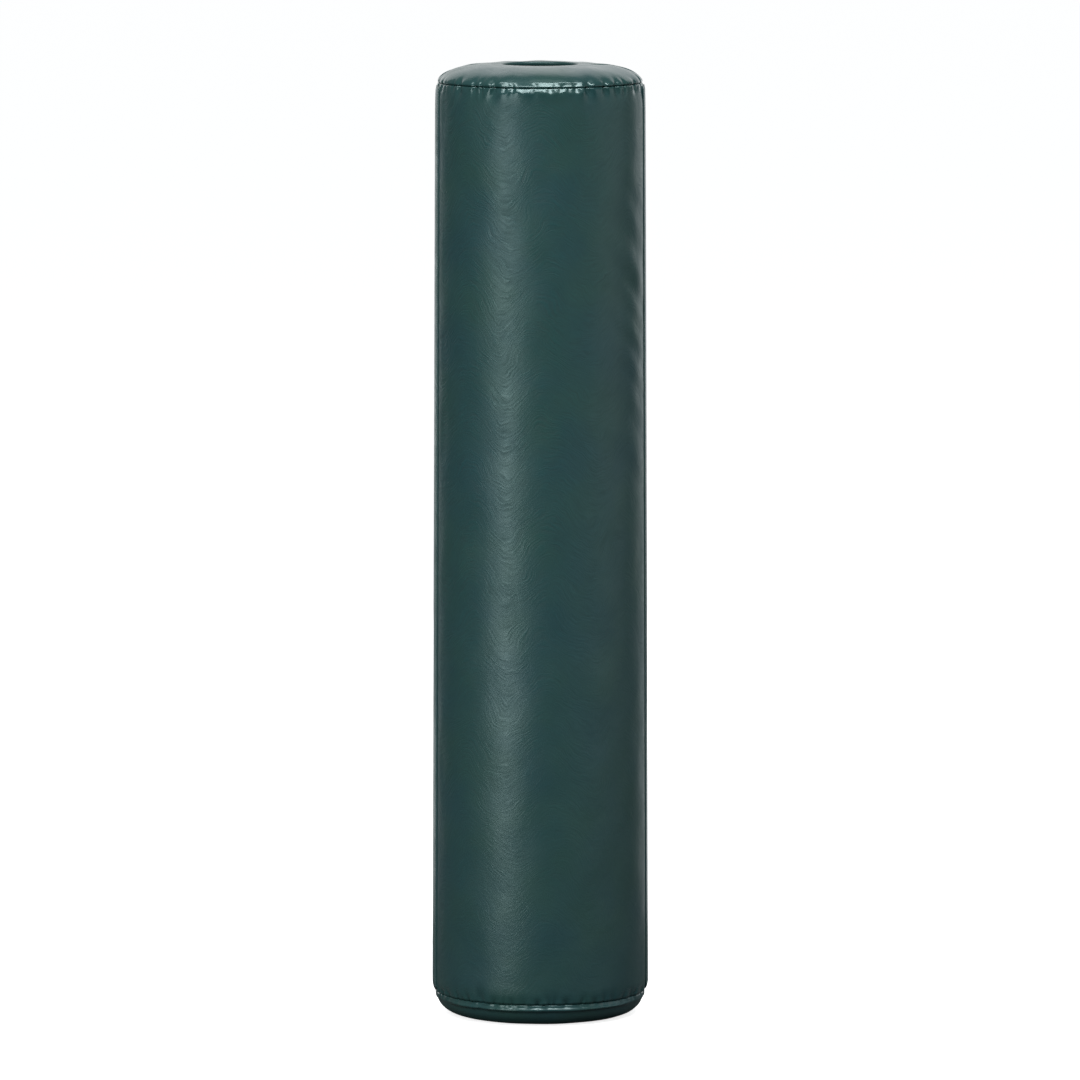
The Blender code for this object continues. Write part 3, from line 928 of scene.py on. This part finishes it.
def make_foam(side):
    """Foam core: the pad's section drawn in under the cover, turned through the half."""
    inset, columns = 0.008, 60
    crown = quarter(10)
    top_r = TOP_FLAT_RADIUS + (WALL_RADIUS_TOP - TOP_PULL - inset - TOP_FLAT_RADIUS) * np.sin(crown)
    top_z = TOP_SEAM + (PAD_HEIGHT - TOP_SEAM - inset) * np.cos(crown)
    low_r = BASE_FLAT_RADIUS + (WALL_RADIUS_BASE - BASE_PULL - inset - BASE_FLAT_RADIUS) * np.sin(crown)
    low_z = BASE_SEAM - (BASE_SEAM - inset) * np.cos(crown)
    wall_z = np.linspace(TOP_SEAM, BASE_SEAM, 40)[1:-1]
    groove = [BORE_RADIUS + inset]
    radius = np.concatenate([groove, top_r[1:], wall_radius(wall_z) - inset, low_r[:0:-1], groove])
    height = np.concatenate([[PAD_HEIGHT - inset], top_z[1:], wall_z, low_z[:0:-1], [inset]])
    # it is squeezed under both seams
    for seam in (TOP_SEAM, BASE_SEAM):
        radius -= 0.007 * hump(height - seam, 0.008) * (radius > 0.15)
    start = np.arcsin((HALF_GAP + 0.0036) / radius)[:, None]
    angle = start + (math.pi - 2 * start) * np.linspace(0, 1, columns + 1)
    points = together(
        radius[:, None] * np.cos(angle), SIDES[side] * radius[:, None] * np.sin(angle), height[:, None]
    )
    index = point_numbers(angle.shape)
    quads = quads_over(np.concatenate([index, index[:1]]), flip=side == "back")
    caps = np.stack([index[:, 0], index[::-1, -1]])
    if side == "back":
        caps = caps[:, ::-1]
    flat = points.reshape(-1, 3)
    return new_piece(f"{side}_foam", flat, [quads, caps], flat[:, [0, 2]])


def make_eyelet(side, label):
    """Vent eyelet: a rolled flange, a barrel through the face and a flange behind it."""
    roll = np.linspace(0.0, math.pi, 10)
    deep = np.linspace(0.0, 1.0, 4)
    barrel_radius, barrel_wall, back_flange, back_depth = 0.0050, 0.0058, 0.0105, -0.0025
    radius = np.concatenate([
        0.0080 + 0.0030 * np.cos(roll), np.full(len(deep), barrel_radius),
        [back_flange, back_flange, barrel_wall, barrel_wall],
    ])[:, None]
    rise = np.concatenate([
        0.0001 + 0.00085 * np.sin(roll), -0.0004 - 0.0021 * deep,
        [back_depth, back_depth + 0.0006, back_depth + 0.0006, 0.0001],
    ])[:, None]
    turn = np.linspace(0.0, 2 * math.pi, 48, endpoint=False)
    points = together(
        VENT_X + radius * np.cos(turn),
        SIDES[side] * (HALF_GAP + 0.0002 - rise),
        VENT_HEIGHTS[label] + radius * np.sin(turn),
    )
    index = point_numbers(points.shape[:2])
    index = np.concatenate([index, index[:1]])
    quads = quads_over(np.concatenate([index, index[:, :1]], axis=1), flip=side == "front")
    flat = points.reshape(-1, 3)
    return new_piece(f"{side}_eyelet_{label}", flat, [quads], flat[:, [0, 2]])


for side in SIDES:
    body = f"{side}_half"
    wall = dress(make_wall(side), body, VINYL, "vinyl", f"{side}_outer_wall")
    ends = {end: make_end_panel(side, end) for end in END_PANELS}
    liner = dress(make_liner(side), body, VINYL, "vinyl", f"{side}_post_groove_liner")
    foam = dress(make_foam(side), body, FOAM, "foam", f"{side}_foam_core")
    for end, (panel, cut) in ends.items():
        dress(panel, body, VINYL, "vinyl", f"{side}_{end}_panel")
    for direction, label in ((-1.0, "hinge"), (1.0, "closure")):
        face = dress(make_face(side, direction, label), body, VINYL, "vinyl",
                     f"{side}_{label}_side_face")
    for label in VENT_HEIGHTS:
        dress(make_eyelet(side, label), body, NICKEL, "eyelet", f"{side}_vent_{label}")


# Strips, flap and tapes

STRIP_MARGIN = 0.006
STRIP_LOW, STRIP_HIGH = BASE_SEAM + STRIP_MARGIN, TOP_SEAM - STRIP_MARGIN
STRIP_HEIGHTS = np.linspace(STRIP_LOW, STRIP_HIGH, 230)
STRIP_THICKNESS = 0.0013
STRIP_ROLL = 0.0011
SPINE_HALF = math.radians(15.0)
SPINE_TOP = 0.0018
FLAP_START = math.radians(-9.0)
FLAP_END = math.radians(40.0)

# Tapes lie under the flap between these angles, in degrees
TAPE_START, TAPE_END = 10.0, 35.0
TAPE_MARGIN = 0.012
TAPE_LOW, TAPE_HIGH = STRIP_LOW + TAPE_MARGIN, STRIP_HIGH - TAPE_MARGIN

# Rows of stitching: how far from a sewn edge and from the flap's hem, and where on the tapes
SEWN_ROWS = (0.004, 0.011)
HEM_ROW = 0.009
TAPE_ROWS = (TAPE_START + 1.0, TAPE_END - 1.0)
STITCH_PITCH = 0.0045
STITCH_LENGTH = 0.0034
STITCH_RADIUS = 0.00038


def ring_point(angle, radius, height):
    """Points at an angle from +X towards +Y, all the way round."""
    return together(radius * np.cos(angle), radius * np.sin(angle), height)


def from_ends(height, low, high):
    """Distance of a height from the nearer end of a strip."""
    return np.minimum(height - low, high - height)


def strip(name, angles, heights, stand_off, thickness, flip=False):
    """A sheet on the wall: r = wall radius at that height + stand-off, over a grid."""
    angle, height = np.meshgrid(angles, heights)
    points = ring_point(angle, wall_radius(height) + stand_off(angle, height), height)
    return sheet_over(name, points, together(angle * ARC_RADIUS, height), flip, None, thickness)


def row_pinch(distance, rows, depth=0.00035, width=0.0016):
    """How far stitching has drawn a strip in, at a distance from its edge: a Gaussian per row."""
    return sum(depth * hump(distance - row, width) for row in rows)


def make_spine():
    """Spine hinge: one strip of vinyl across the hinge's axis, sewn to both halves, with close columns
    over that axis.

    It stands 1.8 mm off the wall, less the pinch of its stitching and the roll of its edges.
    """
    bend, beside = 0.045, 0.05
    turn = np.concatenate([
        np.linspace(math.pi - SPINE_HALF, math.pi - beside, 26),
        np.linspace(math.pi - bend, math.pi + bend, 26),
        np.linspace(math.pi + beside, math.pi + SPINE_HALF, 26),
    ])

    def stand_off(angle, height):
        edge = (SPINE_HALF - np.abs(angle - math.pi)) * ARC_RADIUS
        roll = lip(np.minimum(edge, from_ends(height, STRIP_LOW, STRIP_HIGH)), STRIP_ROLL)
        return SPINE_TOP - row_pinch(edge, SEWN_ROWS) - roll

    return strip("spine_hinge", turn, STRIP_HEIGHTS, stand_off, STRIP_THICKNESS)


def flap_rise(angle, height):
    """Height of the flap's outer face above the wall: low on its sewn margin, then over the tapes."""
    degrees = np.degrees(angle)
    over = 0.0018 + 0.0024 * smooth_step(degrees, -1.5, 7.0)
    margin = (angle - FLAP_START) * ARC_RADIUS
    edge = np.minimum((FLAP_END - angle) * ARC_RADIUS, from_ends(height, STRIP_LOW, STRIP_HIGH))
    hem = 0.0005 * (1.0 - smooth_step(edge, 0.011, 0.0125))
    pinch = row_pinch(margin, SEWN_ROWS) + row_pinch(edge, (HEM_ROW,))
    tape = row_pinch(degrees, TAPE_ROWS, 0.0003, 0.5)
    roll = lip(np.minimum(edge, margin), STRIP_ROLL)
    wave = 0.0005 * np.sin(height * 23.0 + 1.0) + 0.0004 * np.sin(height * 41.0 + angle * 9.0)
    lift = (0.0006 + wave) * smooth_step(degrees, 33.0, 40.0)
    return over + hem - pinch - tape - roll + lift


def make_flap():
    """Closure flap: vinyl sheet sewn to the front half's edge, over the gap and the tapes."""
    turn = np.concatenate([
        np.linspace(FLAP_START, math.radians(-2.0), 16),
        np.linspace(math.radians(-1.8), math.radians(3.0), 22),
        np.linspace(math.radians(3.3), FLAP_END, 60),
    ])
    return strip("closure_flap_sheet", turn, STRIP_HEIGHTS, flap_rise, STRIP_THICKNESS)


def make_tape(name, inner, outer, flip):
    """Hook or loop tape: a woven ribbon with rolled selvedges."""
    turn = np.radians(np.linspace(TAPE_START, TAPE_END, 44))
    heights = np.linspace(TAPE_LOW, TAPE_HIGH, 200)
    selvedge = 0.0006

    def stand_off(angle, height):
        edge = from_ends(np.degrees(angle), TAPE_START, TAPE_END) * math.radians(1) * ARC_RADIUS
        roll = lip(np.minimum(edge, from_ends(height, TAPE_LOW, TAPE_HIGH)), selvedge)
        return inner + roll if flip else outer - roll

    return strip(name, turn, heights, stand_off, outer - inner, flip=flip)


def stitches(name, lines):
    """Rows of sewing thread: every stitch is a short rounded rod that dips in at both ends.

    Each line is (points, normals), one row of stitch centres with the way out of the cloth. A
    stitch has five rings of six points: where along it they lie, how thick and how far out.
    """
    around = np.linspace(0.0, 2 * math.pi, 6, endpoint=False)
    spots = np.array([-1.0, -0.78, 0.0, 0.78, 1.0]) * STITCH_LENGTH / 2
    thick = np.array([0.35, 0.85, 1.0, 0.85, 0.35]) * STITCH_RADIUS
    raised = np.array([-1.1, -0.25, 0.35, -0.25, -1.1]) * STITCH_RADIUS
    points, quads, caps = [], [], []
    first = 0
    for centres, normals in lines:
        along = np.gradient(centres, axis=0)
        along /= np.linalg.norm(along, axis=1)[:, None]
        out = normals / np.linalg.norm(normals, axis=1)[:, None]
        sideways = np.cross(along, out)
        ring = (
            centres[:, None, None]
            + along[:, None, None] * spots[:, None, None]
            + out[:, None, None] * raised[:, None, None]
            + (sideways[:, None, None] * np.cos(around)[:, None]
               + out[:, None, None] * np.sin(around)[:, None]) * thick[:, None, None]
        )
        index = point_numbers(ring.shape[:3], first)
        first += index.size
        loop = np.concatenate([index, index[..., :1]], axis=2)
        quads.append(quads_over(loop.swapaxes(1, 2)))
        caps.append(np.concatenate([index[:, 0], index[:, -1, ::-1]]))
        points.append(ring.reshape(-1, 3))
    flat = np.concatenate(points)
    return new_piece(name, flat, [np.concatenate(quads), np.concatenate(caps)], flat[:, [1, 2]])


def upright_row(angle, span, stand_off):
    """A row of stitches up the wall at an angle, over a span of heights, stand_off from it."""
    count = int((span[1] - span[0]) / STITCH_PITCH)
    height = np.linspace(*span, count)
    turn = np.full(count, angle)
    return ring_point(turn, wall_radius(height) + stand_off, height), ring_point(turn, 1.0, 0.0)


def level_row(start, end, height, stand_off):
    """A row of stitches along the wall at a height, from one angle to another."""
    count = int(abs(end - start) * ARC_RADIUS / STITCH_PITCH)
    turn = np.linspace(start, end, count)
    return ring_point(turn, wall_radius(height) + stand_off, height), ring_point(turn, 1.0, 0.0)


spine = dress(make_spine(), None, VINYL, "vinyl", "back_spine_strip", "front_spine_strip")
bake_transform(spine)

flap = dress(make_flap(), None, VINYL, "vinyl", "closure_flap")
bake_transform(flap)

loop = dress(make_tape("back_loop_strip", 0.0003, 0.0013, False), "back_half", LOOP, "tape",
             "back_loop_tape")
hook = dress(make_tape("flap_hook_strip", 0.0016, 0.0026, True), "flap", HOOK, "tape",
             "flap_hook_tape")

# Stitching, by the body that its thread is sewn to: the heights that its rows run between, and
# how far the thread of each stands off the wall
SEWN_SPAN = (STRIP_LOW + 0.006, STRIP_HIGH - 0.006)
TAPE_SPAN = (TAPE_LOW + 0.003, TAPE_HIGH - 0.003)
HEM_SPAN = (STRIP_LOW + HEM_ROW, STRIP_HIGH - HEM_ROW)
ON_SPINE, ON_FLAP_MARGIN, ON_LOOP, ON_FLAP, ON_HEM = SPINE_TOP - 0.0003, 0.0015, 0.0013, 0.0040, 0.0047
hem_angle = FLAP_END - HEM_ROW / ARC_RADIUS
tape_angles = [math.radians(row) for row in TAPE_ROWS]
sewn_angles = [row / ARC_RADIUS for row in SEWN_ROWS]
STITCHING = {
    "back_half": [
        *(upright_row(math.pi - SPINE_HALF + turn, SEWN_SPAN, ON_SPINE) for turn in sewn_angles),
        *(upright_row(turn, TAPE_SPAN, ON_LOOP) for turn in tape_angles),
        *(level_row(*tape_angles, height, ON_LOOP) for height in TAPE_SPAN),
    ],
    "front_half": [
        *(upright_row(math.pi + SPINE_HALF - turn, SEWN_SPAN, ON_SPINE) for turn in sewn_angles),
        *(upright_row(FLAP_START + turn, SEWN_SPAN, ON_FLAP_MARGIN) for turn in sewn_angles),
    ],
    "flap": [
        upright_row(hem_angle, HEM_SPAN, ON_HEM),
        *(upright_row(turn, TAPE_SPAN, ON_FLAP) for turn in tape_angles),
        *(level_row(math.radians(8.0), hem_angle, height, ON_FLAP + 0.0005) for height in HEM_SPAN),
    ],
}
for body, rows in STITCHING.items():
    dress(stitches(body.removesuffix("_half") + "_stitching", rows), body, THREAD, "vinyl")


# Floor, light and camera

# Where the photograph's camera stands, and how wide its view is at the pad
CAMERA_DISTANCE = 16.7
CAMERA_HEIGHT = 2.80
VIEW_WIDTH = 2.06
SENSOR_WIDTH = 36.0

# The lights face this height on the pad's axis
AIM_HEIGHT = 0.95
FLOOR_SIDE = 160.0


def look_at(item, place, target):
    """Puts a light or camera at a place and points it at a target."""
    back = np.array(place, float) - np.array(target, float)
    item.location = place
    item.rotation_mode = "QUATERNION"
    item.rotation_quaternion = Vector(back).to_track_quat("Z", "Y")


def make_floor():
    """A wide pale sheet that glows for the camera alone, so that it runs into the backdrop."""
    half = FLOOR_SIDE / 2
    corners = [(-half, -half, 0.0), (half, -half, 0.0), (half, half, 0.0), (-half, half, 0.0)]
    mesh = bpy.data.meshes.new("floor")
    mesh.from_pydata(corners, [], [(0, 1, 2, 3)])
    floor = bpy.data.objects.new("floor", mesh)
    bpy.context.scene.collection.objects.link(floor)
    material = bpy.data.materials.new("pale_studio_floor")
    material.use_nodes = True
    tree = material.node_tree
    tree.nodes.clear()
    path = add_node(tree, "ShaderNodeLightPath")
    seen = add_node(tree, "ShaderNodeBsdfDiffuse", {"Color": linear_colour("#f1f1f0")})
    glow = add_node(tree, "ShaderNodeEmission", {"Color": linear_colour("#ffffff"), "Strength": 0.78})
    both = add_node(tree, "ShaderNodeAddShader", {0: seen.outputs[0], 1: glow.outputs[0]})
    other = add_node(tree, "ShaderNodeBsdfDiffuse", {"Color": linear_colour("#606060")})
    mixed = add_node(tree, "ShaderNodeMixShader", {
        0: path.outputs["Is Camera Ray"], 1: other.outputs[0], 2: both.outputs[0],
    })
    add_node(tree, "ShaderNodeOutputMaterial", {"Surface": mixed.outputs[0]})
    mesh.materials.append(material)


def make_world():
    """White where the camera sees it, and a dim cool fill for everything else."""
    world = bpy.data.worlds.new("studio")
    bpy.context.scene.world = world
    world.use_nodes = True
    tree = world.node_tree
    tree.nodes.clear()
    path = add_node(tree, "ShaderNodeLightPath")
    around = add_node(tree, "ShaderNodeBackground", {"Color": linear_colour("#f4f8fb"), "Strength": 0.26})
    seen = add_node(tree, "ShaderNodeBackground", {"Color": linear_colour("#ffffff"), "Strength": 1.0})
    mixed = add_node(tree, "ShaderNodeMixShader", {
        0: path.outputs["Is Camera Ray"], 1: around.outputs[0], 2: seen.outputs[0],
    })
    add_node(tree, "ShaderNodeOutputWorld", {"Surface": mixed.outputs[0]})


def make_light(name, place, size, power, seen, tint):
    """A rectangular area light that faces the pad."""
    lamp = bpy.data.lights.new(name, "AREA")
    lamp.color = linear_colour(tint)[:3]
    lamp.shape = "RECTANGLE"
    lamp.size, lamp.size_y = size
    lamp.energy = power
    item = bpy.data.objects.new(name, lamp)
    bpy.context.scene.collection.objects.link(item)
    look_at(item, place, (0.0, 0.0, AIM_HEIGHT))
    item.visible_camera = seen


def round_pad(azimuth, elevation, distance):
    """A place at an azimuth from the camera's side, an elevation and a distance from the pad."""
    turn, lift = math.radians(azimuth), math.radians(elevation)
    return (
        distance * math.cos(lift) * math.sin(turn),
        -distance * math.cos(lift) * math.cos(turn),
        AIM_HEIGHT + distance * math.sin(lift),
    )


make_floor()
make_world()
WHITE, COOL = "#ffffff", "#e6f6f8"
OVERHEAD_SIZE = (1.55, 0.9)
# each light's name, place, width and height, power, whether the camera may see it, and tint
for light in (
    ("softbox_left", round_pad(-36.5, 4.0, 2.7), (1.0, 2.1), 26.0, True, WHITE),
    ("softbox_low", round_pad(-36.5, -14.0, 2.7), (1.0, 0.5), 6.0, True, WHITE),
    ("panel_right", round_pad(83.0, 6.0, 3.6), (2.8, 2.4), 14.0, True, WHITE),
    ("panel_right_low", round_pad(48.0, -8.0, 3.6), (2.8, 0.75), 4.5, True, WHITE),
    ("overhead_0", round_pad(-50.0, 54.5, 6.0), OVERHEAD_SIZE, 54.0, False, WHITE),
    ("overhead_1", round_pad(-25.0, 54.5, 6.0), OVERHEAD_SIZE, 54.0, False, WHITE),
    ("overhead_2", round_pad(0.0, 54.5, 6.0), OVERHEAD_SIZE, 74.0, False, WHITE),
    ("overhead_3", round_pad(25.0, 54.5, 6.0), OVERHEAD_SIZE, 74.0, False, WHITE),
    ("overhead_4", round_pad(50.0, 54.5, 6.0), OVERHEAD_SIZE, 54.0, False, WHITE),
    ("ceiling", (0.0, -0.3, 6.6), (3.4, 1.6), 22.0, False, WHITE),
    ("backdrop", (0.3, 5.0, 3.2), (9.0, 6.4), 160.0, False, WHITE),
    ("backdrop_foot", (0.0, 1.0, 0.23), (1.5, 0.46), 2.4, False, WHITE),
    ("rim_right", round_pad(143.0, 2.0, 2.2), (1.0, 2.0), 3.2, False, COOL),
    ("rim_left", round_pad(-149.0, 2.0, 2.2), (0.9, 2.0), 4.2, False, COOL),
):
    make_light(*light)

camera_data = bpy.data.cameras.new("camera")
camera = bpy.data.objects.new("camera", camera_data)
bpy.context.scene.collection.objects.link(camera)
look_at(camera, (0.0, -CAMERA_DISTANCE, CAMERA_HEIGHT), (0.0, 0.0, PAD_HEIGHT / 2))
camera_data.sensor_width = SENSOR_WIDTH
camera_data.lens = SENSOR_WIDTH * CAMERA_DISTANCE / VIEW_WIDTH
bpy.context.scene.camera = camera
bpy.context.scene.view_settings.view_transform = "Standard"
